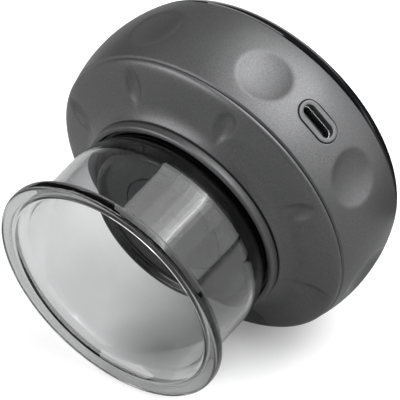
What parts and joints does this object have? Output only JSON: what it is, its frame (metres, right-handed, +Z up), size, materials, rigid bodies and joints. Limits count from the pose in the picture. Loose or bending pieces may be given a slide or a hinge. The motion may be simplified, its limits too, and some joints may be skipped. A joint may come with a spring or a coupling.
{
  "type": "electric cupping massager",
  "caption": "Round rechargeable cupping massager: grey two-part case with round grip dimples and a charging port, black domed panel with push buttons, and a pull-off clear suction cup.",
  "frame": {"origin": "on the table under the middle of the device, as it lies on its side on the rim of its cup and the edge of its case", "axes": "+Z up; the mouth of the cup faces -Y and 13.5 degrees down; the display panel faces +Y and up; the charging port is at the upper +X side"},
  "size_m": [0.0758, 0.072, 0.0755],
  "materials": {
    "shell": "satin metallic spray with a fine speckle",
    "panel": "high gloss black",
    "clear_cup": "smoke-tinted clear plastic, polished",
    "seal": "matte silicone",
    "black_plastic": "fine moulded texture",
    "plate": "dark satin coating",
    "board": "green solder mask",
    "steel": "plated steel",
    "inner_plastic": "moulded nylon",
    "cell": "foil wrap",
    "foam": "foam pad",
    "tube": "translucent silicone",
    "lead": "insulated wire"
  },
  "bodies": {
    "main": {"chassis": "inner_plastic", "case_screw_1": "steel", "case_screw_2": "steel", "case_screw_3": "steel", "board_screw_1": "steel", "board_screw_2": "steel", "board_screw_3": "steel", "main_board": "board", "pressure_sensor": "steel", "battery_pad": "foam", "battery": "cell", "battery_lead_plus": "lead", "battery_lead_minus": "lead", "pump_motor": "steel", "pump_head": "inner_plastic", "valve_body": "inner_plastic", "intake_tube": "tube", "vent_tube": "tube", "main_housing": "shell", "lower_cover": "shell", "neck_ring": "shell", "cup_seal": "seal", "chamber_floor": "black_plastic", "heat_plate": "plate", "filter_cap": "black_plastic", "light_board": "board", "display_panel": "panel", "tact_switch_1": "black_plastic", "tact_switch_2": "black_plastic", "tact_switch_3": "black_plastic", "display_board": "board", "digit_display": "black_plastic", "usb_bezel": "shell", "usb_shell": "steel", "usb_tongue": "black_plastic"},
    "cup": {"suction_cup": "clear_cup"},
    "power_key": {"power_button": "panel"},
    "level_key": {"level_button": "panel"},
    "heat_key": {"heat_button": "panel"},
    "pump_shaft": {"motor_shaft": "steel", "pump_eccentric": "inner_plastic"},
    "vent_pin": {"valve_plunger": "steel"}
  },
  "joints": [
    {"name": "cup_pull", "type": "slide", "parent": "main", "child": "cup", "axis": [0, -0.9723, -0.2337], "range_m": [0, 0.012]},
    {"name": "power_press", "type": "slide", "parent": "main", "child": "power_key", "axis": [0, -0.9723, -0.2337], "range_m": [0, 0.0004], "stiffness_N_per_m": 1500, "springref_m": -0.0003},
    {"name": "level_press", "type": "slide", "parent": "main", "child": "level_key", "axis": [0, -0.9723, -0.2337], "range_m": [0, 0.0004], "stiffness_N_per_m": 1500, "springref_m": -0.0003},
    {"name": "heat_press", "type": "slide", "parent": "main", "child": "heat_key", "axis": [0, -0.9723, -0.2337], "range_m": [0, 0.0004], "stiffness_N_per_m": 1500, "springref_m": -0.0003},
    {"name": "pump_spin", "type": "hinge", "parent": "main", "child": "pump_shaft", "pos_m": [-0.01281, 0.01576, 0.02621], "axis": [0.682, 0.1709, -0.7111], "continuous": true},
    {"name": "vent_press", "type": "slide", "parent": "main", "child": "vent_pin", "axis": [0, -0.9723, -0.2337], "range_m": [0, 0.0012], "stiffness_N_per_m": 400, "springref_m": -0.0004}
  ]
}
